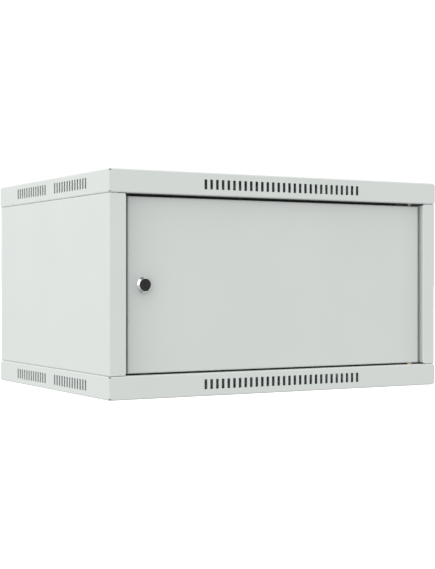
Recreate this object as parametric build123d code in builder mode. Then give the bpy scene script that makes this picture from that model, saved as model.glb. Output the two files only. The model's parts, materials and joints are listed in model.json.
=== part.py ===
"""Wall-mount 19-inch network cabinet, 6 rack units high, with a solid steel door.

Millimetres, +Z up. The origin is at the middle of the underside, and the door faces -Y.
Left and right are those of a person who faces the door.
"""

import os
from build123d import *

os.makedirs("parts", exist_ok=True)

# ---------------------------------------------------------------- driving dimensions
WIDTH = 600.0
DEPTH = 450.0
HEIGHT = 337.0
SHEET = 1.2  # body and door steel
BEND = 2.2  # outer radius of a folded edge
INNER_BEND = BEND - SHEET

PAN_HEIGHT = 35.0  # flange of the top and bottom pans
FRONT_LIP = 26.0
SIDE_LIP = 14.0
REAR_LIP = 26.0
CORNER_NOTCH = 2.0  # radius of the relief where three folds meet
CORNER_INSET = 1.5  # from the outer faces to the relief's middle

VENT_PITCH = 10.0
VENT_WIDTH = 5.0
VENT_LENGTH = 15.0
SIDE_VENT_LENGTH = 16.4
VENT_ROUND = 0.8
FRONT_VENTS = 29
SIDE_VENTS = 13
FRONT_VENT_Z = 18.0
SIDE_VENT_Z = 16.8
SIDE_VENT_Y = 80.0  # middle of each group, either side of the cabinet's middle

PANEL_INSET = 0.4  # side panels stand this far inside the pans' sides
UPRIGHT_INSET = 0.7
LOCK_UPRIGHT = 27.2  # face of the left upright
HINGE_UPRIGHT = 24.4  # face of the right upright
UPRIGHT_BEND = 1.6
REVEAL = 28.2  # depth of an upright's inner return
STOP_WIDTH = 12.0  # stop flange behind the door
END_RELIEF = 2.8  # square notch at each end of an upright's inner fold
PANEL_BACK = 2.7  # the rear flanges stand this far inside the pans' back
FLANGE = 14.0
PANEL_GAP = 0.8  # between an upright's cut end and the pan

DOOR_RECESS = 6.0  # door face behind the pans' front
DOOR_GAP_LOCK = 5.1
DOOR_GAP_HINGE = 5.7
DOOR_GAP_LOW = 2.7
DOOR_GAP_HIGH = 4.4
DOOR_THICK = 17.0
DOOR_LIP = 12.0

HINGE_X = 254.8
HINGE_Y = -DEPTH / 2 + 12.5
PIN_R = 3.0
PIN_HOLE_R = PIN_R + 0.15
BUSH_R = 4.4  # where it sits in the pan's lip
RUNNING_FIT = 0.05

LOCK_X = -240.6

RACK_UNITS = 6
UNIT = 44.45
EIA_SPACING = 465.1  # between the two columns of rail holes
RAIL_OPENING = 450.0
RAIL_SHEET = 2.0
RAIL_FACE = 37.3
RAIL_FLANGE = 28.0
RAIL_HOLE = 9.5
FRONT_RAIL_Y = -160.0
REAR_RAIL_Y = 150.0
FRONT_RAIL_TRAVEL = (0.0, 80.0)
REAR_RAIL_TRAVEL = (-100.0, 30.0)
RAIL_BOLT_INSET = 16.0  # bolts behind the rail's face

BAR_SHEET = 1.5
BAR_HEIGHT = 30.0
BAR_WEB_X = 262.5
BAR_LEVELS = (65.0, HEIGHT - 65.0)
BAR_Y = (-185.0, 200.0)

ENTRY_X = 300.0  # cable entry in each pan
ENTRY_Y = (90.0, 160.0)
COVER_X = 360.0
COVER_Y = (120.0, 200.0)
COVER_SHEET = 1.5
COVER_TRAVEL = (-35.0, 20.0)
COVER_STUD_X = 165.0
COVER_STUD_Y = 150.0

BACK_ENTRY = (200.0, 50.0)
BACK_ENTRY_Z = 85.0
WALL_HOLES = (400.0, 200.0)
WALL_HOLE_R = 4.5

SCREW_R = 2.5  # M5
BOLT_R = 3.0  # M6
HOLE_PLAY = 0.3  # round a screw or bolt that passes through sheet
THREAD_PLAY = 0.05  # between a thread and its nut

# ---------------------------------------------------------------- derived places
MID_HEIGHT = Plane.XY.offset(HEIGHT / 2)
LOW_SEAT = PAN_HEIGHT  # where the panels stand on the bottom pan
HIGH_SEAT = HEIGHT - PAN_HEIGHT
FRONT = -DEPTH / 2
BACK = DEPTH / 2

PANEL_X = WIDTH / 2 - PANEL_INSET
UPRIGHT_Y = FRONT + UPRIGHT_INSET
LOCK_REVEAL_X = -PANEL_X + LOCK_UPRIGHT
HINGE_REVEAL_X = PANEL_X - HINGE_UPRIGHT
STOP_Y = UPRIGHT_Y + REVEAL
REAR_FLANGE_Y = BACK - PANEL_BACK
BACK_PANEL_Y = REAR_FLANGE_Y - SHEET
LIP_SCREW_X = 291.0
LIP_SCREW_YS = (-150.0, 0.0, 150.0)
REAR_SCREW_XS = (-200.0, -70.0, 70.0, 200.0)
REAR_SCREW_Y = 212.0
SEAM_SCREW_X = 288.0
SEAM_SCREW_ZS = (80.0, HEIGHT / 2, HEIGHT - 80.0)

DOOR_LEFT = LOCK_REVEAL_X + DOOR_GAP_LOCK
DOOR_RIGHT = HINGE_REVEAL_X - DOOR_GAP_HINGE
DOOR_LOW = LOW_SEAT + DOOR_GAP_LOW
DOOR_HIGH = HIGH_SEAT - DOOR_GAP_HIGH
DOOR_FACE = FRONT + DOOR_RECESS
DOOR_INSIDE = DOOR_FACE + SHEET
DOOR_BACK = DOOR_FACE + DOOR_THICK
LOCK_Z = (DOOR_LOW + DOOR_HIGH) / 2
LOCK_AXIS = Plane(origin=(LOCK_X, DOOR_FACE, LOCK_Z), x_dir=(1, 0, 0), z_dir=(0, 1, 0))


def save(piece, name):
    """Label a finished piece and write it."""
    piece.part.label = name
    export_step(piece.part, f"parts/{name}.step")


def mirrored(piece, plane):
    """The mirror image of a piece."""
    with BuildPart() as other:
        mirror(piece.part, about=plane)
    return other


def save_pair(piece, plane, first, second):
    """Write a piece and its mirror image about a plane."""
    save(piece, first)
    save(mirrored(piece, plane), second)


def hex_socket_screw(head_r, head_h, shank_r, length):
    """Pan-head screw with a hexagon socket, head upwards from z = 0, shank below."""
    with BuildPart() as screw:
        Cylinder(head_r, head_h, align=(Align.CENTER, Align.CENTER, Align.MIN))
        fillet(screw.edges().group_by(Axis.Z)[-1], head_h * 0.45)
        Cylinder(shank_r, length, align=(Align.CENTER, Align.CENTER, Align.MAX))
        chamfer(screw.edges().group_by(Axis.Z)[0], shank_r * 0.2)
        with BuildSketch(Plane.XY.offset(head_h)):
            RegularPolygon(head_r * 0.45, 6)
        extrude(amount=-head_h * 0.6, mode=Mode.SUBTRACT)
    return screw.part


def hex_nut(across, bore_r, thick):
    """Hexagon nut above z = 0, its corners turned down a little."""
    corner_r = across / 2 * 1.09
    with BuildPart() as nut:
        with BuildSketch():
            RegularPolygon(across / 2, 6, major_radius=False)
            Circle(corner_r, mode=Mode.INTERSECT)
            Circle(bore_r, mode=Mode.SUBTRACT)
        extrude(amount=thick)
    return nut.part


def at_each(shape, places):
    """Put a copy of one solid at each place, as separate solids of one piece."""
    with BuildPart() as group:
        for place in places:
            add(shape.moved(place))
    return group


# ---------------------------------------------------------------- pans
with BuildPart() as bottom_pan:
    Box(WIDTH, DEPTH, PAN_HEIGHT, align=(Align.CENTER, Align.CENTER, Align.MIN))
    fillet(bottom_pan.edges().filter_by(Axis.Z, reverse=True), BEND)
    with Locations((0, 0, SHEET)):
        Box(
            WIDTH - 2 * SHEET,
            DEPTH - 2 * SHEET,
            PAN_HEIGHT - 2 * SHEET,
            align=(Align.CENTER, Align.CENTER, Align.MIN),
            mode=Mode.SUBTRACT,
        )
    with Locations((0, (FRONT_LIP - REAR_LIP) / 2, PAN_HEIGHT)):
        Box(WIDTH - 2 * SIDE_LIP, DEPTH - FRONT_LIP - REAR_LIP, 4 * SHEET, mode=Mode.SUBTRACT)
    # reliefs where the folds meet at the corners
    corner_pitch = (WIDTH - 2 * CORNER_INSET, DEPTH - 2 * CORNER_INSET)
    for level in (0, PAN_HEIGHT):
        with Locations((0, 0, level)), GridLocations(*corner_pitch, 2, 2):
            Cylinder(CORNER_NOTCH, 2 * BEND + 1.0, mode=Mode.SUBTRACT)
    # front vents, and the two groups on each side
    with BuildSketch(Plane.XZ.offset(-FRONT)):
        with Locations((0, FRONT_VENT_Z)), GridLocations(VENT_PITCH, 0, FRONT_VENTS, 1):
            RectangleRounded(VENT_WIDTH, VENT_LENGTH, VENT_ROUND)
    extrude(amount=-3 * SHEET, mode=Mode.SUBTRACT)
    with BuildSketch(Plane.YZ):
        for group_y in (-SIDE_VENT_Y, SIDE_VENT_Y):
            with Locations((group_y, SIDE_VENT_Z)), GridLocations(VENT_PITCH, 0, SIDE_VENTS, 1):
                RectangleRounded(VENT_WIDTH, SIDE_VENT_LENGTH, VENT_ROUND)
    extrude(amount=WIDTH, both=True, mode=Mode.SUBTRACT)
    # cable entry in the floor
    with BuildSketch(Plane.XY):
        with Locations((0, sum(ENTRY_Y) / 2)):
            RectangleRounded(ENTRY_X, ENTRY_Y[1] - ENTRY_Y[0], 6.0)
    extrude(amount=2 * SHEET, mode=Mode.SUBTRACT)
    # holes in the lips: panel screws, rear screws and the hinge bush
    with BuildSketch(Plane.XY.offset(PAN_HEIGHT)):
        for y in LIP_SCREW_YS:
            with Locations((-LIP_SCREW_X, y), (LIP_SCREW_X, y)):
                Circle(SCREW_R + HOLE_PLAY)
        with Locations(*[(x, REAR_SCREW_Y) for x in REAR_SCREW_XS]):
            Circle(SCREW_R + HOLE_PLAY)
        with Locations((HINGE_X, HINGE_Y)):
            Circle(BUSH_R + RUNNING_FIT)
    extrude(amount=-2 * SHEET, mode=Mode.SUBTRACT)
save_pair(bottom_pan, MID_HEIGHT, "bottom_pan", "top_pan")

# ---------------------------------------------------------------- side panels
PANEL_MIDDLE_Y = (UPRIGHT_Y + BEND, BACK_PANEL_Y - SHEET - 0.1)
REAR_FLANGE = 20.0
LAP = 0.5  # the upright and the rear flange run this far into the sheet between them
UPRIGHT_LOW = LOW_SEAT + PANEL_GAP
UPRIGHT_HIGH = HIGH_SEAT - PANEL_GAP


def side_panel(upright):
    """Left-hand side panel, folded round into a front upright of that width."""
    reveal_x = -PANEL_X + upright
    with BuildPart() as panel:
        # sheet with its top and bottom flanges, folded inwards
        with BuildSketch(Plane.XZ.offset(-PANEL_MIDDLE_Y[0])):
            with BuildLine():
                FilletPolyline(
                    (-PANEL_X + FLANGE, LOW_SEAT),
                    (-PANEL_X, LOW_SEAT),
                    (-PANEL_X, HIGH_SEAT),
                    (-PANEL_X + FLANGE, HIGH_SEAT),
                    radius=BEND,
                )
                offset(amount=SHEET, side=Side.RIGHT)
            make_face()
        extrude(amount=-(PANEL_MIDDLE_Y[1] - PANEL_MIDDLE_Y[0]))
        # front upright: face, inner return and stop flange
        with BuildSketch(Plane.XY.offset(UPRIGHT_LOW)):
            with BuildLine():
                FilletPolyline(
                    (-PANEL_X, PANEL_MIDDLE_Y[0] + LAP),
                    (-PANEL_X, UPRIGHT_Y),
                    (reveal_x, UPRIGHT_Y),
                    (reveal_x, STOP_Y),
                    (reveal_x + STOP_WIDTH, STOP_Y),
                    radius=[UPRIGHT_BEND, UPRIGHT_BEND, INNER_BEND],
                )
                offset(amount=SHEET, side=Side.LEFT)
            make_face()
        extrude(amount=UPRIGHT_HIGH - UPRIGHT_LOW)
        # rear flange
        with BuildSketch(Plane.XY.offset(UPRIGHT_LOW)):
            with BuildLine():
                FilletPolyline(
                    (-PANEL_X + REAR_FLANGE, REAR_FLANGE_Y),
                    (-PANEL_X, REAR_FLANGE_Y),
                    (-PANEL_X, PANEL_MIDDLE_Y[1] - LAP),
                    radius=UPRIGHT_BEND,
                )
                offset(amount=SHEET, side=Side.LEFT)
            make_face()
        extrude(amount=UPRIGHT_HIGH - UPRIGHT_LOW)
        # the inner fold, the return and the stop flange end short of the pans
        for end in (LOW_SEAT, HIGH_SEAT):
            with Locations((reveal_x + STOP_WIDTH - UPRIGHT_BEND, STOP_Y, end)):
                Box(2 * STOP_WIDTH, 3 * REVEAL, 2 * END_RELIEF, mode=Mode.SUBTRACT)
        # screw holes in the flanges and in the rear flange
        with BuildSketch(Plane.XY.offset(LOW_SEAT)):
            with Locations(*[(-LIP_SCREW_X, y) for y in LIP_SCREW_YS]):
                Circle(SCREW_R + HOLE_PLAY)
        extrude(amount=HEIGHT, mode=Mode.SUBTRACT)
        with BuildSketch(Plane.XZ.offset(-REAR_FLANGE_Y)):
            with Locations(*[(-SEAM_SCREW_X, z) for z in SEAM_SCREW_ZS]):
                Circle(SCREW_R + HOLE_PLAY)
        extrude(amount=2 * SHEET, mode=Mode.SUBTRACT)
    return panel


save(side_panel(LOCK_UPRIGHT), "side_panel_left")
save(mirrored(side_panel(HINGE_UPRIGHT), Plane.YZ), "side_panel_right")

# ---------------------------------------------------------------- back panel
BACK_PANEL_X = PANEL_X - SHEET - 0.6
BACK_FLANGE_X = PANEL_X - FLANGE - 1.0

with BuildPart() as back_panel:
    with BuildSketch(Plane.YZ.offset(-BACK_PANEL_X)):
        with BuildLine():
            FilletPolyline(
                (BACK_PANEL_Y - FLANGE, LOW_SEAT),
                (BACK_PANEL_Y, LOW_SEAT),
                (BACK_PANEL_Y, HIGH_SEAT),
                (BACK_PANEL_Y - FLANGE, HIGH_SEAT),
                radius=BEND,
            )
            offset(amount=SHEET, side=Side.LEFT)
        make_face()
    extrude(amount=2 * BACK_PANEL_X)
    # the flanges stop short of the side panels' flanges
    for end in (LOW_SEAT, HIGH_SEAT):
        with Locations((0, BACK_PANEL_Y - SHEET - FLANGE / 2, end)):
            with GridLocations(BACK_FLANGE_X + BACK_PANEL_X, 0, 2, 1):
                Box(BACK_PANEL_X - BACK_FLANGE_X, FLANGE + 1.0, 4 * BEND, mode=Mode.SUBTRACT)
    with BuildSketch(Plane.XY.offset(LOW_SEAT)):
        with Locations(*[(x, REAR_SCREW_Y) for x in REAR_SCREW_XS]):
            Circle(SCREW_R + HOLE_PLAY)
    extrude(amount=HEIGHT, mode=Mode.SUBTRACT)
    with BuildSketch(Plane.XZ.offset(-BACK_PANEL_Y)):
        with Locations((0, HEIGHT / 2)), GridLocations(*WALL_HOLES, 2, 2):
            Circle(WALL_HOLE_R)
        with Locations((0, BACK_ENTRY_Z)):
            RectangleRounded(*BACK_ENTRY, 8.0)
        for x in (-SEAM_SCREW_X, SEAM_SCREW_X):
            with Locations(*[(x, z) for z in SEAM_SCREW_ZS]):
                Circle(SCREW_R + HOLE_PLAY)
    extrude(amount=2 * SHEET, mode=Mode.SUBTRACT)
save(back_panel, "back_panel")

# rubber edging that grips the sheet round the back cable opening
EDGING = 4.2
with BuildPart() as back_entry_edging:
    with BuildSketch(Plane.XZ.offset(-(BACK_PANEL_Y + (EDGING - SHEET) / 2))):
        with Locations((0, BACK_ENTRY_Z)):
            RectangleRounded(BACK_ENTRY[0] + 8.0, BACK_ENTRY[1] + 8.0, 12.0)
            RectangleRounded(BACK_ENTRY[0] - 6.0, BACK_ENTRY[1] - 6.0, 5.0, mode=Mode.SUBTRACT)
    extrude(amount=EDGING)
    fillet(back_entry_edging.edges().group_by(Axis.Y)[0], 0.8)
    fillet(back_entry_edging.edges().group_by(Axis.Y)[-1], 0.8)
    with BuildSketch(Plane.XZ.offset(-(BACK_PANEL_Y + 0.05))):
        with Locations((0, BACK_ENTRY_Z)):
            RectangleRounded(BACK_ENTRY[0] + 30.0, BACK_ENTRY[1] + 30.0, 12.0)
            RectangleRounded(BACK_ENTRY[0] - 0.2, BACK_ENTRY[1] - 0.2, 7.9, mode=Mode.SUBTRACT)
    extrude(amount=SHEET + 0.1, mode=Mode.SUBTRACT)
save(back_entry_edging, "back_entry_edging")

# ---------------------------------------------------------------- screws that join the case
SCREW_HEAD_R = 4.5
SCREW_HEAD_H = 2.6
CASE_SCREW_LENGTH = 10.0
NUT_ACROSS = 8.0
NUT_THICK = 4.0
case_screw = hex_socket_screw(SCREW_HEAD_R, SCREW_HEAD_H, SCREW_R, CASE_SCREW_LENGTH)
case_nut = hex_nut(NUT_ACROSS, SCREW_R + THREAD_PLAY, NUT_THICK)

seats = [(x, y) for x in (-LIP_SCREW_X, LIP_SCREW_X) for y in LIP_SCREW_YS]
seats += [(x, REAR_SCREW_Y) for x in REAR_SCREW_XS]
bottom_screws = at_each(case_screw, [Location((x, y, LOW_SEAT + SHEET)) for x, y in seats])
bottom_nuts = at_each(case_nut, [Location((x, y, LOW_SEAT - SHEET - NUT_THICK)) for x, y in seats])
save_pair(bottom_screws, MID_HEIGHT, "bottom_pan_screws", "top_pan_screws")
save_pair(bottom_nuts, MID_HEIGHT, "bottom_pan_nuts", "top_pan_nuts")

seam_places = [(x, z) for x in (-SEAM_SCREW_X, SEAM_SCREW_X) for z in SEAM_SCREW_ZS]
HEAD_TO_BACK = (-90, 0, 0)  # turns +Z to +Y
seam_screws = at_each(
    case_screw, [Location((x, REAR_FLANGE_Y, z), HEAD_TO_BACK) for x, z in seam_places]
)
seam_nuts = at_each(
    case_nut,
    [Location((x, BACK_PANEL_Y - SHEET - NUT_THICK, z), HEAD_TO_BACK) for x, z in seam_places],
)
save(seam_screws, "back_panel_screws")
save(seam_nuts, "back_panel_nuts")

# ---------------------------------------------------------------- depth bars
PANEL_INSIDE_X = PANEL_X - SHEET


def depth_bar(level):
    """Channel on the left side panel, with a slot for each rail's bolts."""
    half = BAR_HEIGHT / 2
    with BuildPart() as bar:
        with BuildSketch(Plane.XZ.offset(-BAR_Y[0])):
            with BuildLine():
                FilletPolyline(
                    (-PANEL_INSIDE_X, level - half),
                    (-BAR_WEB_X, level - half),
                    (-BAR_WEB_X, level + half),
                    (-PANEL_INSIDE_X, level + half),
                    radius=BEND,
                )
                offset(amount=BAR_SHEET, side=Side.LEFT)
            make_face()
        extrude(amount=-(BAR_Y[1] - BAR_Y[0]))
        with BuildSketch(Plane.YZ.offset(-BAR_WEB_X)):
            for bolt_y, travel in (
                (FRONT_RAIL_Y + RAIL_BOLT_INSET, FRONT_RAIL_TRAVEL),
                (REAR_RAIL_Y - RAIL_BOLT_INSET, REAR_RAIL_TRAVEL),
            ):
                with Locations((bolt_y + sum(travel) / 2, level)):
                    SlotCenterToCenter(
                        travel[1] - travel[0] + 6.0, 2 * (BOLT_R + HOLE_PLAY), rotation=0
                    )
        extrude(amount=-2 * BAR_SHEET, mode=Mode.SUBTRACT)
    return bar


for level, tier in zip(BAR_LEVELS, ("lower", "upper")):
    save_pair(depth_bar(level), Plane.YZ, f"depth_bar_{tier}_left", f"depth_bar_{tier}_right")

# ---------------------------------------------------------------- mounting rails
RAIL_CLEAR = 2.5  # above and below a rail
HOLE_LEVELS = (6.35, 22.225, 38.1)  # holes in each rack unit
RACK_LOW = HEIGHT / 2 - RACK_UNITS * UNIT / 2
RAIL_OUTER_X = RAIL_OPENING / 2 + RAIL_FACE
rail_bolt = hex_socket_screw(5.0, 3.3, BOLT_R, 11.0)


def mounting_rail(face_y, towards):
    """Left-hand rail; its bolt flange runs back from the face along +Y or -Y."""
    with BuildPart() as rail:
        with BuildSketch(Plane.XY.offset(LOW_SEAT + RAIL_CLEAR)):
            with BuildLine():
                FilletPolyline(
                    (-RAIL_OPENING / 2, face_y),
                    (-RAIL_OUTER_X, face_y),
                    (-RAIL_OUTER_X, face_y + towards * RAIL_FLANGE),
                    radius=RAIL_SHEET + 1.0,
                )
                offset(amount=RAIL_SHEET, side=Side.RIGHT if towards > 0 else Side.LEFT)
            make_face()
        extrude(amount=HIGH_SEAT - LOW_SEAT - 2 * RAIL_CLEAR)
        with BuildSketch(Plane.XZ.offset(-face_y)):
            for unit in range(RACK_UNITS):
                for level in HOLE_LEVELS:
                    with Locations((-EIA_SPACING / 2, RACK_LOW + unit * UNIT + level)):
                        Rectangle(RAIL_HOLE, RAIL_HOLE)
        extrude(amount=2 * RAIL_SHEET, both=True, mode=Mode.SUBTRACT)
        with BuildSketch(Plane.YZ.offset(-RAIL_OUTER_X)):
            with Locations(*[(face_y + towards * RAIL_BOLT_INSET, z) for z in BAR_LEVELS]):
                Circle(BOLT_R + HOLE_PLAY)
        extrude(amount=2 * RAIL_SHEET, mode=Mode.SUBTRACT)
    return rail


def rail_bolts(bolt_y):
    """The two bolts of a left-hand rail, heads towards the middle of the cabinet."""
    head_x = -RAIL_OUTER_X + RAIL_SHEET
    return at_each(rail_bolt, [Location((head_x, bolt_y, z), (0, 90, 0)) for z in BAR_LEVELS])


def captive_nuts(bolt_y):
    """Square nuts held inside the depth bars, one behind each rail bolt."""
    thick = 4.5
    side = 12.0
    middle_x = -BAR_WEB_X - BAR_SHEET - 0.1 - thick / 2
    with BuildPart() as nuts:
        with Locations(*[(middle_x, bolt_y, z) for z in BAR_LEVELS]):
            Box(thick, side, side)
            Cylinder(BOLT_R + THREAD_PLAY, 2 * thick, rotation=(0, 90, 0), mode=Mode.SUBTRACT)
    return nuts


for place, face_y, towards in (("front", FRONT_RAIL_Y, 1), ("rear", REAR_RAIL_Y, -1)):
    bolt_y = face_y + towards * RAIL_BOLT_INSET
    for what, piece in (
        ("rail", mounting_rail(face_y, towards)),
        ("rail_bolts", rail_bolts(bolt_y)),
        ("rail_nuts", captive_nuts(bolt_y)),
    ):
        save_pair(piece, Plane.YZ, f"{place}_left_{what}", f"{place}_right_{what}")

# ---------------------------------------------------------------- cable-entry covers
COVER_CLEAR = 0.2
COVER_FOLD = 9.0
COVER_LOW = SHEET + COVER_CLEAR
COVER_SLOT = 2 * (SCREW_R + HOLE_PLAY)

with BuildPart() as bottom_cover:
    with BuildSketch(Plane.YZ.offset(-COVER_X / 2)):
        with BuildLine():
            FilletPolyline(
                (COVER_Y[0], COVER_LOW + COVER_FOLD),
                (COVER_Y[0], COVER_LOW),
                (COVER_Y[1], COVER_LOW),
                radius=BEND,
            )
            offset(amount=COVER_SHEET, side=Side.LEFT)
        make_face()
    extrude(amount=COVER_X)
    with BuildSketch(Plane.XY.offset(COVER_LOW)):
        slot_y = COVER_STUD_Y - sum(COVER_TRAVEL) / 2
        with Locations((-COVER_STUD_X, slot_y), (COVER_STUD_X, slot_y)):
            SlotCenterToCenter(COVER_TRAVEL[1] - COVER_TRAVEL[0] + 1.0, COVER_SLOT, rotation=90)
    extrude(amount=2 * COVER_SHEET, mode=Mode.SUBTRACT)
save_pair(bottom_cover, MID_HEIGHT, "bottom_entry_cover", "top_entry_cover")

cover_places = [(-COVER_STUD_X, COVER_STUD_Y), (COVER_STUD_X, COVER_STUD_Y)]
with BuildPart() as bottom_cover_studs:
    with Locations(*[(x, y, SHEET) for x, y in cover_places]):
        Cylinder(SCREW_R, 12.0, align=(Align.CENTER, Align.CENTER, Align.MIN))
    chamfer(bottom_cover_studs.edges().group_by(Axis.Z)[-1], 0.5)
save_pair(bottom_cover_studs, MID_HEIGHT, "bottom_cover_studs", "top_cover_studs")

COVER_NUT_Z = COVER_LOW + COVER_SHEET + 0.1
with BuildPart() as bottom_cover_nuts:
    with Locations(*[(x, y, COVER_NUT_Z) for x, y in cover_places]):
        Cylinder(6.0, 1.2, align=(Align.CENTER, Align.CENTER, Align.MIN))
    with BuildSketch(Plane.XY.offset(COVER_NUT_Z + 1.2)):
        with Locations(*cover_places):
            RegularPolygon(NUT_ACROSS / 2, 6, major_radius=False)
    extrude(amount=NUT_THICK)
    with Locations(*[(x, y, COVER_NUT_Z) for x, y in cover_places]):
        Cylinder(SCREW_R + THREAD_PLAY, 20.0, mode=Mode.SUBTRACT)
save_pair(bottom_cover_nuts, MID_HEIGHT, "bottom_cover_nuts", "top_cover_nuts")

# ---------------------------------------------------------------- door
DOOR_HEIGHT = DOOR_HIGH - DOOR_LOW
DOOR_WIDTH = DOOR_RIGHT - DOOR_LEFT
DOOR_MIDDLE = ((DOOR_LEFT + DOOR_RIGHT) / 2, (DOOR_FACE + DOOR_BACK) / 2, LOCK_Z)
DOOR_MID_HEIGHT = Plane.XY.offset(LOCK_Z)
DOOR_BEND = 2.0
DOOR_CORNER = 3.0  # corner reliefs at the door's back
BARREL_R = 9.5
BARREL_FLAT = 8.2  # half the width across the barrel's flats

with BuildPart() as door:
    with Locations(DOOR_MIDDLE):
        Box(DOOR_WIDTH, DOOR_THICK, DOOR_HEIGHT)
    fillet(door.edges().filter_by(Axis.Y, reverse=True), DOOR_BEND)
    with Locations(DOOR_MIDDLE):
        Box(
            DOOR_WIDTH - 2 * SHEET,
            DOOR_THICK - 2 * SHEET,
            DOOR_HEIGHT - 2 * SHEET,
            mode=Mode.SUBTRACT,
        )
    with Locations((DOOR_MIDDLE[0], DOOR_BACK, LOCK_Z)):
        Box(
            DOOR_WIDTH - 2 * DOOR_LIP,
            4 * SHEET,
            DOOR_HEIGHT - 2 * DOOR_LIP,
            mode=Mode.SUBTRACT,
        )
    for x in (DOOR_LEFT, DOOR_RIGHT):
        for z in (DOOR_LOW, DOOR_HIGH):
            with Locations((x, DOOR_BACK, z)):
                Box(DOOR_CORNER, DOOR_CORNER, DOOR_CORNER, mode=Mode.SUBTRACT)
    # holes for the hinge pins and for the lock's barrel
    with Locations((HINGE_X, HINGE_Y, HEIGHT / 2)):
        Cylinder(PIN_HOLE_R, HEIGHT, mode=Mode.SUBTRACT)
    with BuildSketch(LOCK_AXIS):
        Circle(BARREL_R + 0.1)
        Rectangle(2 * BARREL_FLAT + 0.2, 3 * BARREL_R, mode=Mode.INTERSECT)
    extrude(amount=2 * SHEET, mode=Mode.SUBTRACT)
save(door, "door_shell")

# hat section down the middle of the door
STIFFENER_X = 20.0
STIFFENER_DEPTH = 12.0
STIFFENER_SHORT = 14.0  # from each end of the door
with BuildPart() as door_stiffener:
    with BuildSketch(Plane.XY.offset(DOOR_LOW + STIFFENER_SHORT)):
        with BuildLine():
            FilletPolyline(
                (-2 * STIFFENER_X, DOOR_INSIDE),
                (-STIFFENER_X, DOOR_INSIDE),
                (-STIFFENER_X, DOOR_INSIDE + STIFFENER_DEPTH),
                (STIFFENER_X, DOOR_INSIDE + STIFFENER_DEPTH),
                (STIFFENER_X, DOOR_INSIDE),
                (2 * STIFFENER_X, DOOR_INSIDE),
                radius=[INNER_BEND, BEND, BEND, INNER_BEND],
            )
            offset(amount=SHEET, side=Side.LEFT)
        make_face()
    extrude(amount=DOOR_HEIGHT - 2 * STIFFENER_SHORT)
save(door_stiffener, "door_stiffener")

# rubber buffers on the left upright's stop flange
BUFFER_R = 4.0
BUFFER_CLEAR = 0.4  # between the buffers and the shut door
BUFFER_X = LOCK_REVEAL_X + STOP_WIDTH - BUFFER_R - 0.4
BUFFER_ZS = (80.0, HEIGHT - 80.0)
with BuildPart() as door_buffers:
    with BuildSketch(Plane.XZ.offset(-STOP_Y)):
        with Locations(*[(BUFFER_X, z) for z in BUFFER_ZS]):
            Circle(BUFFER_R)
    extrude(amount=STOP_Y - DOOR_BACK - BUFFER_CLEAR, taper=6)
    fillet(door_buffers.edges().group_by(Axis.Y)[0], 1.0)
save(door_buffers, "door_buffers")

# ---------------------------------------------------------------- hinge
PIN_AXIS = (HINGE_X, HINGE_Y)
PIN_REACH = 4.0  # pin beyond the pan's lip
COLLAR_R = 4.6
COLLAR_H = 3.5
BRACKET_DROP = 36.0  # bracket plate from the door's end
BRACKET_SHEET = 1.5
SHOULDER_R = 5.2
BRACKET_LOW = DOOR_HIGH - BRACKET_DROP
BRACKET_TOP = BRACKET_LOW + BRACKET_SHEET
COLLAR_TOP = DOOR_HIGH - SHEET - 0.4
DOOR_SIDE_INSIDE = DOOR_RIGHT - SHEET
BRACKET_DEPTH = 12.0
BRACKET_RISE = 22.0

with BuildPart() as top_hinge_bracket:
    with BuildSketch(Plane.XZ.offset(-DOOR_INSIDE)):
        with BuildLine():
            FilletPolyline(
                (HINGE_X - 10.0, BRACKET_LOW),
                (DOOR_SIDE_INSIDE, BRACKET_LOW),
                (DOOR_SIDE_INSIDE, BRACKET_LOW + BRACKET_RISE),
                radius=BEND,
            )
            offset(amount=BRACKET_SHEET, side=Side.LEFT)
        make_face()
    extrude(amount=-BRACKET_DEPTH)
    with Locations((*PIN_AXIS, BRACKET_LOW)):
        Cylinder(PIN_HOLE_R, 4 * BRACKET_SHEET, mode=Mode.SUBTRACT)
save_pair(top_hinge_bracket, DOOR_MID_HEIGHT, "top_hinge_bracket", "bottom_hinge_bracket")

PIN_TOP = HIGH_SEAT + PIN_REACH
TAIL_Z = BRACKET_LOW - 5.0
TAIL_R = 2.4
with BuildPart() as top_hinge_pin:
    with Locations((*PIN_AXIS, PIN_TOP)):
        Cylinder(PIN_R, PIN_TOP - TAIL_Z + PIN_R, align=(Align.CENTER, Align.CENTER, Align.MAX))
    chamfer(top_hinge_pin.edges().group_by(Axis.Z)[-1], 0.8)
    with Locations((*PIN_AXIS, COLLAR_TOP)):
        Cylinder(COLLAR_R, COLLAR_H, align=(Align.CENTER, Align.CENTER, Align.MAX))
    # finger tail, bent towards the middle of the door
    with BuildSketch(Plane.YZ.offset(HINGE_X)):
        with Locations((HINGE_Y, TAIL_Z)):
            Circle(TAIL_R)
    extrude(amount=-22.0)
    fillet(top_hinge_pin.edges().group_by(Axis.X)[0], 1.2)
save(top_hinge_pin, "top_hinge_pin")

# fixed pin, with a collar under its bracket and one over the door's lower edge
PIN_BOTTOM = LOW_SEAT - PIN_REACH
LOW_BRACKET = 2 * LOCK_Z - BRACKET_TOP
with BuildPart() as bottom_hinge_pin:
    with Locations((*PIN_AXIS, PIN_BOTTOM)):
        pin_length = LOW_BRACKET + BRACKET_SHEET + 6.0 - PIN_BOTTOM
        Cylinder(PIN_R, pin_length, align=(Align.CENTER, Align.CENTER, Align.MIN))
    chamfer(bottom_hinge_pin.edges().group_by(Axis.Z)[0], 0.8)
    for level in (DOOR_LOW + SHEET + 0.05, LOW_BRACKET - COLLAR_H - 0.05):
        with Locations((*PIN_AXIS, level)):
            Cylinder(COLLAR_R, COLLAR_H, align=(Align.CENTER, Align.CENTER, Align.MIN))
save(bottom_hinge_pin, "bottom_hinge_pin")

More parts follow.
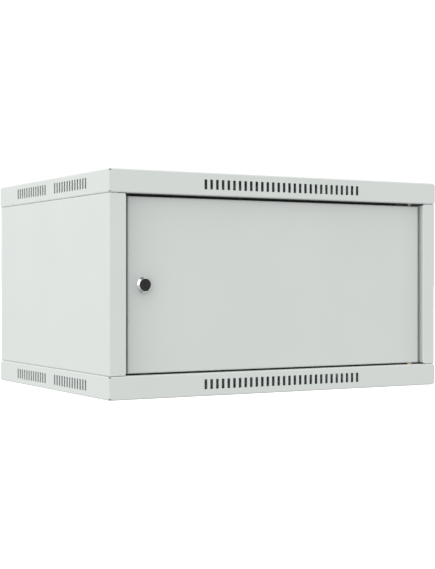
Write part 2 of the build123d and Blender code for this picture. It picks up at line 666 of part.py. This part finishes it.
SPRING_WIRE = 0.4
SPRING_MEAN_R = 3.8
SPRING_TURNS = 7
SPRING_LOW = BRACKET_TOP + SPRING_WIRE + 0.1
SPRING_HIGH = COLLAR_TOP - COLLAR_H - SPRING_WIRE - 0.1
spring_height = SPRING_HIGH - SPRING_LOW
with BuildPart() as hinge_spring:
    with BuildLine():
        coil = Helix(
            spring_height / SPRING_TURNS,
            spring_height,
            SPRING_MEAN_R,
            center=(*PIN_AXIS, SPRING_LOW),
        )
    with BuildSketch(Plane(origin=coil @ 0, z_dir=coil % 0)):
        Circle(SPRING_WIRE)
    sweep(is_frenet=True)
save(hinge_spring, "hinge_spring")

for end, shoulder in (("top", 1.2), ("bottom", DOOR_GAP_LOW - 0.2)):
    with BuildPart() as bush:
        with Locations((*PIN_AXIS, LOW_SEAT)):
            Cylinder(SHOULDER_R, shoulder, align=(Align.CENTER, Align.CENTER, Align.MIN))
            Cylinder(BUSH_R, 4.5, align=(Align.CENTER, Align.CENTER, Align.MAX))
            Cylinder(PIN_R + RUNNING_FIT, 20.0, mode=Mode.SUBTRACT)
        if end == "top":
            mirror(about=MID_HEIGHT, mode=Mode.REPLACE)
    save(bush, f"{end}_hinge_bush")

# ---------------------------------------------------------------- lock
BEZEL_R = 12.4
BEZEL_H = 3.7
BEZEL_FOOT = 0.8  # straight band below its cone
BEZEL_RIM = 9.8  # outer radius of the narrow land round the plug
PLUG_R = 9.2
SHAFT_R = 6.0
PLUG_THICK = 2.2
PLUG_RECESS = 0.5
BARREL_LENGTH = 25.2
SQUARE = 7.0
KEY_SLOT = (1.9, 8.8)
KEY_DEPTH = 6.0
CAM_THICK = 2.5
CAM_LENGTH = 27.5
CAM_WIDTH = 15.0
LOCK_NUT_ACROSS = 24.0
PLUG_SEAT = -BEZEL_H + PLUG_RECESS + PLUG_THICK  # the step that the plug's face sits on
PROFILE = Plane(origin=LOCK_AXIS.origin, x_dir=(1, 0, 0), z_dir=(0, 0, 1))

with BuildPart() as lock_body:
    # ring and barrel turned about the lock's axis
    with BuildSketch(PROFILE):
        with BuildLine():
            Polyline(
                (PLUG_R + 0.1, PLUG_SEAT),
                (PLUG_R + 0.1, -BEZEL_H + 0.2),
                (PLUG_R + 0.3, -BEZEL_H),
                (BEZEL_RIM, -BEZEL_H),
                (BEZEL_R, -BEZEL_FOOT),
                (BEZEL_R, 0),
                (BARREL_R, 0),
                (BARREL_R, BARREL_LENGTH),
                (SHAFT_R + RUNNING_FIT, BARREL_LENGTH),
                (SHAFT_R + RUNNING_FIT, PLUG_SEAT),
                close=True,
            )
        make_face()
    revolve(axis=Axis(LOCK_AXIS.origin, (0, 1, 0)))
    # two flats down the barrel
    for side in (-1, 1):
        flat_x = LOCK_X + side * (BARREL_FLAT + BARREL_R / 2)
        with Locations((flat_x, DOOR_FACE + BARREL_LENGTH / 2, LOCK_Z)):
            Box(BARREL_R, BARREL_LENGTH, 3 * BARREL_R, mode=Mode.SUBTRACT)
save(lock_body, "lock_body")

with BuildPart() as lock_plug:
    with BuildSketch(LOCK_AXIS.offset(-BEZEL_H + PLUG_RECESS)):
        Circle(PLUG_R)
    extrude(amount=PLUG_THICK - 0.05)
    with BuildSketch(LOCK_AXIS.offset(-BEZEL_H + PLUG_RECESS)):
        Circle(SHAFT_R)
    extrude(amount=BARREL_LENGTH + BEZEL_H - PLUG_RECESS)
    with BuildSketch(LOCK_AXIS.offset(BARREL_LENGTH)):
        Rectangle(SQUARE, SQUARE)
    extrude(amount=CAM_THICK)
    chamfer(lock_plug.edges().group_by(Axis.Y)[0], 0.4)
    with BuildSketch(LOCK_AXIS.offset(-BEZEL_H)):
        Rectangle(*KEY_SLOT)
    extrude(amount=KEY_DEPTH, mode=Mode.SUBTRACT)
    with BuildSketch(LOCK_AXIS.offset(BARREL_LENGTH + CAM_THICK)):
        Circle(SCREW_R + THREAD_PLAY)
    extrude(amount=-10.0, mode=Mode.SUBTRACT)
save(lock_plug, "lock_plug")

with BuildPart() as lock_nut:
    with BuildSketch(LOCK_AXIS.offset(SHEET)):
        RegularPolygon(LOCK_NUT_ACROSS / 2, 6, major_radius=False)
        Circle(BARREL_R + THREAD_PLAY, mode=Mode.SUBTRACT)
    extrude(amount=NUT_THICK)
save(lock_nut, "lock_nut")

with BuildPart() as lock_cam:
    with BuildSketch(LOCK_AXIS.offset(BARREL_LENGTH + 0.05)):
        Circle(CAM_WIDTH / 2 + 0.5)
        # the plane's own Y points down, the way the cam hangs when unlocked
        with Locations((0, (CAM_LENGTH - CAM_WIDTH / 4) / 2)):
            Rectangle(CAM_WIDTH, CAM_LENGTH - CAM_WIDTH / 4)
        with Locations((0, CAM_LENGTH - CAM_WIDTH / 4)):
            SlotOverall(CAM_WIDTH, CAM_WIDTH / 2)
        Rectangle(SQUARE + 0.1, SQUARE + 0.1, mode=Mode.SUBTRACT)
    extrude(amount=CAM_THICK - 0.1)
save(lock_cam, "lock_cam")

cam_bolt = hex_socket_screw(5.5, 3.0, SCREW_R, 8.0)
cam_end = Location((LOCK_X, DOOR_FACE + BARREL_LENGTH + CAM_THICK, LOCK_Z), HEAD_TO_BACK)
save(at_each(cam_bolt, [cam_end]), "cam_screw")

# ---------------------------------------------------------------- earth studs
EARTH_LENGTH = 13.0
earth_nut = hex_nut(10.0, BOLT_R + THREAD_PLAY, 5.0)
with BuildPart() as earth_stud:
    Cylinder(BOLT_R, EARTH_LENGTH, align=(Align.CENTER, Align.CENTER, Align.MIN))
    chamfer(earth_stud.edges().group_by(Axis.Z)[-1], 0.6)

FRAME_EARTH = (-150.0, -120.0, SHEET)
DOOR_EARTH = (150.0, DOOR_INSIDE, 70.0)
for owner, base, turn in (("frame", FRAME_EARTH, (0, 0, 0)), ("door", DOOR_EARTH, HEAD_TO_BACK)):
    foot = Location(base, turn)
    save(at_each(earth_stud.part, [foot]), f"{owner}_earth_stud")
    save(at_each(earth_nut, [foot * Location((0, 0, 1.0))]), f"{owner}_earth_nut")
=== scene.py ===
"""Wall-mount network cabinet: finishes, small Blender pieces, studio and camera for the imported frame.

Lengths are metres in the row frame, and MM is a millimetre. The cabinet's front faces -Y.
"""

import json
import math

import bmesh
import bpy
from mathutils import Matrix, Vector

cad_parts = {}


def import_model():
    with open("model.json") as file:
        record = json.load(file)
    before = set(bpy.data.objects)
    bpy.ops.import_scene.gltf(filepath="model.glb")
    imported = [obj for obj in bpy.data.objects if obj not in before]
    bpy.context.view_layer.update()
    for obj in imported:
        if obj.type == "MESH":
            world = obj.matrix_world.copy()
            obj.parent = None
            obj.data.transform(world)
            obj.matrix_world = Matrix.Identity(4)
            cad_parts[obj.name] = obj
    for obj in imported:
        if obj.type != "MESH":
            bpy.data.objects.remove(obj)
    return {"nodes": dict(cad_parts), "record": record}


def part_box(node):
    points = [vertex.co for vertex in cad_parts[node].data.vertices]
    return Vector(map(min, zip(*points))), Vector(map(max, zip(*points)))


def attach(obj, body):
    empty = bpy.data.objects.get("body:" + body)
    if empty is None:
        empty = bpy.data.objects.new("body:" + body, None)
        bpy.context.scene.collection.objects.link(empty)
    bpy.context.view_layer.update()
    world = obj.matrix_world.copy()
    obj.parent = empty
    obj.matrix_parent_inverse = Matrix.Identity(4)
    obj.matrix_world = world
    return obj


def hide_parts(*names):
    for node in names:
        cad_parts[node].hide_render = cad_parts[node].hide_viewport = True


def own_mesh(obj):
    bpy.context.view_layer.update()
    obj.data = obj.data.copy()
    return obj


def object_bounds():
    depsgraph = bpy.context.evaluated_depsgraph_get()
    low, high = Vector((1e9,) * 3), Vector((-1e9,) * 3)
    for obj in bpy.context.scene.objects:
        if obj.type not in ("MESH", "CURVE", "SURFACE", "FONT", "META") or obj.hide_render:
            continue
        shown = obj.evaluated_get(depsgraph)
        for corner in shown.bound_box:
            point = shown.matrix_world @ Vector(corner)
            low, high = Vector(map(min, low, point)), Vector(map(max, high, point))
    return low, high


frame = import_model()
cad_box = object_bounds()
MM = 0.001
WHITE = (1.0, 1.0, 1.0, 1.0)


# ---------------------------------------------------------------- material kit
def add_node(tree, kind, wired=None, **settings):
    """Add a node; settings are its own values, wired maps its sockets to values or to outputs."""
    made = tree.nodes.new(kind)
    for key, value in settings.items():
        setattr(made, key, value)
    for socket, value in (wired or {}).items():
        if isinstance(value, bpy.types.NodeSocket):
            tree.links.new(value, made.inputs[socket])
        else:
            made.inputs[socket].default_value = value
    return made


class Finish:
    """A Principled material, built node by node in the row frame's own metres."""

    def __init__(self, name, **sockets):
        self.material = bpy.data.materials.new(name)
        self.material.use_nodes = True
        self.tree = self.material.node_tree
        self.shader = self.tree.nodes["Principled BSDF"]
        self.place = self.node("ShaderNodeTexCoord").outputs["Object"]
        for socket, value in sockets.items():
            self.shader.inputs[socket.replace("_", " ")].default_value = value

    def node(self, kind, wired=None, **settings):
        """Add a node to the material."""
        return add_node(self.tree, kind, wired, **settings)

    def stretched(self, x, y, z):
        """The place, scaled by its own factor along each axis."""
        return self.node("ShaderNodeMapping", {"Vector": self.place, "Scale": (x, y, z)}).outputs[0]

    def noise(self, per_metre, detail=3.0, rough=0.5, place=None):
        """Grey noise from 0 to 1 with that many lumps in a metre."""
        wired = {
            "Vector": place or self.place,
            "Scale": per_metre,
            "Detail": detail,
            "Roughness": rough,
        }
        return self.node("ShaderNodeTexNoise", wired).outputs["Fac"]

    def cells(self, per_metre, place):
        """Crystals, that many in a metre, each with its own random colour."""
        wired = {"Vector": place, "Scale": per_metre}
        return self.node("ShaderNodeTexVoronoi", wired).outputs["Color"]

    def between(self, value, low, high, start=0.3, end=0.7):
        """Map a value that runs from start to end onto low to high."""
        wired = {
            "Value": value,
            "From Min": start,
            "From Max": end,
            "To Min": low,
            "To Max": high,
        }
        return self.node("ShaderNodeMapRange", wired).outputs["Result"]

    def blend(self, factor, first, second):
        """Mix two colours, or outputs, by a factor; a mix node's colours are its sockets 6 and 7."""
        mix = self.node("ShaderNodeMix", {0: factor, 6: first, 7: second}, data_type="RGBA")
        return mix.outputs[2]

    def bump(self, height, metres, strength=1.0, below=None):
        """A bump of that height in metres, on top of another bump."""
        wired = {"Height": height, "Distance": metres, "Strength": strength}
        if below is not None:
            wired["Normal"] = below
        return self.node("ShaderNodeBump", wired).outputs["Normal"]

    def maths(self, operation, first, second=0.0):
        """One step of arithmetic on numbers or outputs."""
        return self.node("ShaderNodeMath", {0: first, 1: second}, operation=operation).outputs[0]

    def fading(self, distance, share, reach):
        """A share that fades as e to the minus distance over reach, all in metres."""
        falling = self.maths("EXPONENT", self.maths("MULTIPLY", distance, -1.0 / reach))
        return self.maths("MULTIPLY", falling, share)

    def wire(self, **outputs):
        """Join outputs to the shader's sockets, such as Base_Color."""
        for socket, output in outputs.items():
            self.tree.links.new(output, self.shader.inputs[socket.replace("_", " ")])
        return self.material


def tint(r, g, b):
    """An opaque colour, linear."""
    return (r, g, b, 1.0)


# ---------------------------------------------------------------- finishes
def powder_coat(name="grey_powder_coat", painted_shade=None):
    """Light grey powder coat: fine orange peel, faint clouding, slightly thicker and darker grains.

    painted_shade, if given, is a function from the finish to how far its colour is darkened by painted
    shade, 0 to 1.
    """
    dull, bright = tint(0.588, 0.622, 0.602), tint(0.604, 0.637, 0.617)
    dark_grain, grain_share = tint(0.52, 0.55, 0.532), 0.16
    # Near-black that the painted shade darkens the colour towards.
    painted_shade_colour = tint(0.03, 0.032, 0.031)
    f = Finish(name, IOR=1.5, Specular_IOR_Level=0.42)
    cloud = f.between(f.noise(7.0, 2.0), 0.0, 1.0)
    grain = f.between(f.noise(2600.0, 2.0, 0.6), 0.0, 1.0, 0.35, 0.65)
    grains = f.between(grain, 0.0, grain_share, 0.0, 1.0)
    colour = f.blend(grains, f.blend(cloud, dull, bright), dark_grain)
    # Painted shade: the colour darkens towards near-black as far as the shade function gives.
    if painted_shade:
        colour = f.blend(painted_shade(f), colour, painted_shade_colour)
    peel = f.bump(f.noise(420.0, 2.0), 0.00007, 0.55)
    fine = f.bump(f.noise(1500.0, 3.0), 0.00004, 0.5, peel)
    rough = f.between(f.noise(900.0, 3.0), 0.40, 0.52)
    return f.wire(Base_Color=colour, Roughness=rough, Normal=fine)


# How much of the door's colour the painted shade takes at an edge, and how far from the edge it fades.
LOCK_EDGE = (0.19, 29 * MM)
HINGE_EDGE = (0.12, 18 * MM)
TOP_EDGE = (0.14, 22 * MM)
TOP_LINE = (0.13, 3.5 * MM)
RING_EDGE = (0.14, 9 * MM)
RING_SHADE_DROP = 2.5 * MM  # the ring's patch is that much lower than the ring
# The painted shade takes DARKEST of the colour at most, and ALL_OVER evenly across the whole door.
DARKEST = 0.6
ALL_OVER = 0.022


def door_painted_shade(f):
    """Painted shade on the door: a darker tone towards its top and side edges and round the lock,
    DARKEST at most.
    """
    low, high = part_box("door_shell")
    ring_low, ring_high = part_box("lock_body")
    middle, ring_r = (ring_low + ring_high) / 2, (ring_high.x - ring_low.x) / 2
    at = f.node("ShaderNodeSeparateXYZ", {0: f.place})
    from_left = f.maths("SUBTRACT", at.outputs["X"], low.x)
    from_right = f.maths("SUBTRACT", high.x, at.outputs["X"])
    from_top = f.maths("SUBTRACT", high.z, at.outputs["Z"])
    across = f.maths("SUBTRACT", at.outputs["X"], middle.x)
    upward = f.maths("SUBTRACT", at.outputs["Z"], middle.z - RING_SHADE_DROP)
    squares = f.maths("ADD", f.maths("MULTIPLY", across, across), f.maths("MULTIPLY", upward, upward))
    from_ring = f.maths("MAXIMUM", f.maths("SUBTRACT", f.maths("SQRT", squares), ring_r), 0.0)
    total = ALL_OVER
    for distance, (share, reach) in (
        (from_left, LOCK_EDGE),
        (from_right, HINGE_EDGE),
        (from_top, TOP_EDGE),
        (from_top, TOP_LINE),
        (from_ring, RING_EDGE),
    ):
        total = f.maths("ADD", f.fading(distance, share, reach), total)
    return f.maths("MINIMUM", total, DARKEST)


def galvanised():
    """Galvanised sheet: crystals of slightly different brightness and gloss."""
    f = Finish("galvanised_sheet", Metallic=1.0)
    warping = f.node("ShaderNodeTexNoise", {"Vector": f.place, "Scale": 90.0}).outputs["Color"]
    warped = f.blend(0.12, f.place, warping)
    crystal = f.node("ShaderNodeSeparateColor", {"Color": f.cells(150.0, warped)})
    colour = f.blend(crystal.outputs["Red"], tint(0.52, 0.535, 0.545), tint(0.70, 0.715, 0.72))
    rough = f.between(crystal.outputs["Green"], 0.30, 0.46, 0.0, 1.0)
    fine = f.bump(f.noise(1800.0, 3.0), 0.00003, 0.4)
    return f.wire(Base_Color=colour, Roughness=rough, Normal=fine)


def zinc_plate():
    """Bright zinc on screws, bolts and nuts: bluish, with a faint yellow cast in places."""
    f = Finish("bright_zinc", Metallic=1.0)
    cast = f.between(f.noise(300.0), 0.0, 1.0)
    colour = f.blend(cast, tint(0.66, 0.68, 0.70), tint(0.72, 0.70, 0.64))
    rough = f.between(f.noise(700.0, 4.0), 0.24, 0.42)
    fine = f.bump(f.noise(2500.0, 3.0), 0.00002, 0.4)
    return f.wire(Base_Color=colour, Roughness=rough, Normal=fine)


def chrome():
    """Polished chrome with faint handling marks."""
    f = Finish("polished_chrome", Metallic=1.0)
    handled = f.between(f.noise(60.0), 0.0, 1.0)
    colour = f.blend(handled, tint(0.86, 0.87, 0.88), tint(0.78, 0.79, 0.80))
    rough = f.between(f.noise(400.0, 5.0), 0.04, 0.10)
    fine = f.bump(f.noise(900.0, 2.0), 0.00001, 0.3)
    return f.wire(Base_Color=colour, Roughness=rough, Normal=fine)


def black_satin():
    """Black passivated lock plug: satin, with fine turning grain, and bare wafers in its keyway."""
    f = Finish("black_lock_plug", Specular_IOR_Level=0.3)
    turned = f.between(f.noise(1200.0), 0.0, 1.0)
    black = f.blend(turned, tint(0.012, 0.012, 0.0125), tint(0.018, 0.018, 0.0185))
    depth = f.node("ShaderNodeSeparateXYZ", {0: f.place}).outputs["Y"]
    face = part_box("lock_plug")[0].y
    inside = f.between(depth, 0.0, 1.0, face + 0.4 * MM, face + 0.6 * MM)
    wafer = f.between(f.noise(600.0, place=f.stretched(0.1, 1.0, 0.1)), 0.0, 1.0)
    bare = f.blend(wafer, tint(0.10, 0.10, 0.10), tint(0.22, 0.21, 0.19))
    colour = f.blend(inside, black, bare)
    rough = f.between(f.noise(1800.0, 3.0), 0.46, 0.60)
    fine = f.bump(f.noise(3000.0, 2.0), 0.00002, 0.5)
    return f.wire(Base_Color=colour, Roughness=rough, Normal=fine)


def dull_brass():
    """Turned brass bush, a little tarnished."""
    f = Finish("turned_brass", Metallic=1.0)
    tarnish = f.between(f.noise(500.0, 4.0), 0.0, 1.0)
    colour = f.blend(tarnish, tint(0.66, 0.55, 0.36), tint(0.54, 0.46, 0.31))
    rings = f.noise(300.0, 2.0, place=f.stretched(0.4, 0.4, 9.0))
    rough = f.between(rings, 0.26, 0.44)
    fine = f.bump(rings, 0.00003, 0.5)
    return f.wire(Base_Color=colour, Roughness=rough, Normal=fine)


def spring_wire():
    """Dark oiled steel of the hinge pins and their spring: drawn grain, brighter in rubbed patches."""
    f = Finish("dark_oiled_steel", Metallic=1.0)
    rubbed = f.between(f.noise(350.0, 4.0), 0.0, 1.0)
    colour = f.blend(rubbed, tint(0.17, 0.17, 0.175), tint(0.26, 0.26, 0.255))
    drawn = f.noise(2200.0, 3.0, place=f.stretched(1.0, 1.0, 0.08))
    rough = f.between(drawn, 0.26, 0.42)
    fine = f.bump(drawn, 0.00002, 0.4)
    return f.wire(Base_Color=colour, Roughness=rough, Normal=fine)


def black_rubber():
    """Black rubber with a faint grey bloom."""
    f = Finish("black_rubber", Specular_IOR_Level=0.35)
    bloom = f.between(f.noise(90.0, 4.0), 0.0, 1.0)
    colour = f.blend(bloom, tint(0.022, 0.022, 0.022), tint(0.040, 0.040, 0.041))
    rough = f.between(f.noise(1100.0, 3.0), 0.62, 0.80)
    fine = f.bump(f.noise(1600.0, 3.0), 0.00005, 0.5)
    return f.wire(Base_Color=colour, Roughness=rough, Normal=fine)


FINISHES = {
    "grey_paint": powder_coat(),
    "galvanised": galvanised(),
    "zinc_plate": zinc_plate(),
    "chrome": chrome(),
    "black_lock": black_satin(),
    "brass_bush": dull_brass(),
    "spring_steel": spring_wire(),
    "rubber": black_rubber(),
}


def dress(piece, slot):
    """Give a piece the finish of one of the record's slots."""
    piece.data.materials.clear()
    piece.data.materials.append(FINISHES[slot])


for subpart in frame["record"]["subparts"]:
    dress(frame["nodes"][subpart["node"]], subpart["material_slot"])
# The door's own powder coat, with painted shade at its top and side edges and round the lock.
frame["nodes"]["door_shell"].data.materials[0] = powder_coat("grey_powder_coat_door", door_painted_shade)


# ---------------------------------------------------------------- small pieces
SPRING_WIRE_R = 0.4 * MM
SPRING_TURNS = 9
SPRING_STEPS = 28  # points in one turn


def hinge_spring():
    """Coil spring of the drop pin, with closed ends."""
    low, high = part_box("hinge_spring")
    middle = (low + high) / 2
    length = high.z - low.z
    climb = length - 2 * SPRING_WIRE_R
    coil_r = (high.x - low.x) / 2 - SPRING_WIRE_R
    closed = 2 * SPRING_WIRE_R / climb  # share of the climb that one closed turn takes
    route = bpy.data.curves.new("hinge_spring_route", "CURVE")
    route.dimensions = "3D"
    route.bevel_depth = SPRING_WIRE_R
    route.bevel_resolution = 3
    route.use_fill_caps = True
    spline = route.splines.new("NURBS")
    spline.points.add(SPRING_TURNS * SPRING_STEPS)
    for i, point in enumerate(spline.points):
        turn = i / SPRING_STEPS
        rise = closed * min(turn, 1.0) + closed * max(turn - SPRING_TURNS + 1, 0.0)
        rise += (1 - 2 * closed) * min(max((turn - 1) / (SPRING_TURNS - 2), 0.0), 1.0)
        around = math.tau * turn
        point.co = (
            middle.x + coil_r * math.cos(around),
            middle.y + coil_r * math.sin(around),
            low.z + SPRING_WIRE_R + rise * climb,
            1.0,
        )
    spline.order_u = 3
    spline.use_endpoint_u = True
    holder = bpy.data.objects.new("hinge_spring_holder", route)
    bpy.context.scene.collection.objects.link(holder)
    bpy.context.view_layer.update()
    evaluated = holder.evaluated_get(bpy.context.evaluated_depsgraph_get())
    mesh = bpy.data.meshes.new_from_object(evaluated)
    bpy.data.objects.remove(holder)
    for face in mesh.polygons:
        face.use_smooth = True
    made = bpy.data.objects.new("hinge_spring_coil", mesh)
    bpy.context.scene.collection.objects.link(made)
    dress(made, "spring_steel")
    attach(made, "door")
    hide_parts("hinge_spring")
    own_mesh(made)


STRIP_THICK = 2.1 * MM
STRIP_BEHIND_DOOR = 0.9 * MM
STRIP_LOCK_ROOM = 6 * MM  # from the door's lock edge to the strip
STRIP_HINGE_ROOM = 34 * MM  # from the strip to the door's hinge edge
STRIP_SINK = 0.8 * MM  # how far the strip's seat is sunk into the pan's sheet
STRIP_UNEVEN = 0.12 * MM
STRIP_STEPS = 90
TOP_STRIP_HANGS = 5.4 * MM
BOTTOM_STRIP_STANDS = 5.0 * MM


def gap_shade_strip(name, seat, height):
    """Soft foam strip on a pan's lip behind the door, a black sheet that paints the gap's shade: it
    closes the sight line through the gap.
    """
    door_low, door_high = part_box("door_shell")
    low_x, high_x = door_low.x + STRIP_LOCK_ROOM, door_high.x - STRIP_HINGE_ROOM
    front = door_high.y + STRIP_BEHIND_DOOR
    outline = ((0.0, 0.0), (1.0, 0.0), (1.0, 0.8), (0.75, 1.0), (0.25, 1.0), (0.0, 0.8))
    mesh = bmesh.new()
    rows = []
    for i in range(STRIP_STEPS + 1):
        x = low_x + (high_x - low_x) * i / STRIP_STEPS
        sag = STRIP_UNEVEN * math.sin(2.3 * i) * math.sin(0.61 * i)
        row = []
        for back, share in outline:
            z = seat + share * height + (sag if share else 0.0)
            row.append(mesh.verts.new((x, front + back * STRIP_THICK, z)))
        rows.append(row)
    for here, there in zip(rows, rows[1:]):
        for k in range(len(here)):
            mesh.faces.new((here[k - 1], here[k], there[k], there[k - 1]))
    mesh.faces.new(rows[0])
    mesh.faces.new(rows[-1][::-1])
    bmesh.ops.recalc_face_normals(mesh, faces=mesh.faces)
    data = bpy.data.meshes.new(name)
    mesh.to_mesh(data)
    made = bpy.data.objects.new(name, data)
    bpy.context.scene.collection.objects.link(made)
    soften = made.modifiers.new("soften", "BEVEL")
    soften.width = 0.3 * MM
    soften.segments = 2
    dress(made, "rubber")
    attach(made, "cabinet")


hinge_spring()
between_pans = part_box("side_panel_left")
# Black strips in the top and bottom door gaps: painted shade that keeps the gaps dark.
gap_shade_strip("top_gap_shade_strip", between_pans[1].z + STRIP_SINK, -TOP_STRIP_HANGS)
gap_shade_strip("bottom_gap_shade_strip", between_pans[0].z - STRIP_SINK, BOTTOM_STRIP_STANDS)


# ---------------------------------------------------------------- studio
FLOOR_HALF = 30.0
FLOOR_BELOW = 0.5 * MM


def floor():
    """White floor that throws no light onto the cabinet; the world gives the light from below."""
    mesh = bmesh.new()
    bmesh.ops.create_grid(mesh, x_segments=8, y_segments=8, size=FLOOR_HALF)
    data = bpy.data.meshes.new("floor")
    mesh.to_mesh(data)
    made = bpy.data.objects.new("floor", data)
    made.location.z = cad_box[0].z - FLOOR_BELOW
    paint = Finish("studio_floor", Emission_Color=WHITE, Emission_Strength=0.9, Roughness=0.9)
    tone = paint.blend(paint.noise(0.7, 2.0), tint(0.9, 0.9, 0.9), tint(0.89, 0.89, 0.89))
    data.materials.append(paint.wire(Base_Color=tone))
    bpy.context.scene.collection.objects.link(made)
    made.visible_diffuse = False
    made.visible_glossy = False


# Strength of the light at the horizon, and its gains towards the zenith, the left and the front.
HORIZON, OVERHEAD, FROM_LEFT, FROM_FRONT = 1.055, 0.58, 0.30, 0.05
SEEN_WHITE = 1.05  # the least that the camera itself sees of the background
# Dark cards that only reflections see, one round the zenith and one that is the whole lower half: from
# start to end, as the sine of the height, the share of the light that is taken goes from low to high.
TOP_CARD = {"start": 0.86, "end": 0.93, "low": 0.0, "high": 0.85}
LOW_CARD = {"start": -0.05, "end": 0.0, "low": 0.42, "high": 0.0}


def world():
    """Cove of soft light: brightest overhead, a little brighter on the left and in front, dim below.

    The camera itself sees white, and reflections also see the two dark cards.
    """
    made = bpy.data.worlds.new("studio")
    made.use_nodes = True
    tree = made.node_tree

    def maths(operation, first, second):
        return add_node(tree, "ShaderNodeMath", {0: first, 1: second}, operation=operation).outputs[0]

    def card(height, start, end, low, high):
        wired = {0: height, 1: start, 2: end, 3: low, 4: high}
        return add_node(tree, "ShaderNodeMapRange", wired).outputs[0]

    outward = add_node(tree, "ShaderNodeTexCoord").outputs["Generated"]
    way = add_node(tree, "ShaderNodeSeparateXYZ", {0: outward})
    glow = maths("ADD", maths("MULTIPLY", way.outputs["Z"], OVERHEAD), HORIZON)
    glow = maths("ADD", glow, maths("MULTIPLY", way.outputs["X"], -FROM_LEFT))
    glow = maths("ADD", glow, maths("MULTIPLY", way.outputs["Y"], -FROM_FRONT))
    path = add_node(tree, "ShaderNodeLightPath")
    cards = maths("ADD", card(way.outputs["Z"], **TOP_CARD), card(way.outputs["Z"], **LOW_CARD))
    hidden = maths("MULTIPLY", cards, path.outputs["Is Glossy Ray"])
    glow = maths("MULTIPLY", glow, maths("SUBTRACT", 1.0, hidden))
    glow = maths("MAXIMUM", glow, maths("MULTIPLY", path.outputs["Is Camera Ray"], SEEN_WHITE))
    background = tree.nodes["Background"]
    background.inputs["Color"].default_value = WHITE
    tree.links.new(glow, background.inputs["Strength"])
    bpy.context.scene.world = made


CAMERA_AT = (-1.0748, -1.8892, 0.1735)
CAMERA_ROUND = 29.53  # degrees to the right of straight back, so it looks from the cabinet's left
CAMERA_LENS, CAMERA_SENSOR = 80.21, 36.0
CAMERA_SHIFT = (0.0122, -0.0062)


def camera():
    """Level camera at the height of the cabinet's middle, in front and 30 degrees to the left."""
    data = bpy.data.cameras.new("camera")
    made = bpy.data.objects.new("camera", data)
    bpy.context.scene.collection.objects.link(made)
    made.location = CAMERA_AT
    made.rotation_euler = (math.radians(90.0), 0.0, math.radians(-CAMERA_ROUND))
    data.sensor_width = CAMERA_SENSOR
    data.lens = CAMERA_LENS
    data.shift_x, data.shift_y = CAMERA_SHIFT
    bpy.context.scene.camera = made


bpy.context.scene.view_settings.view_transform = "Standard"
camera()
world()
floor()
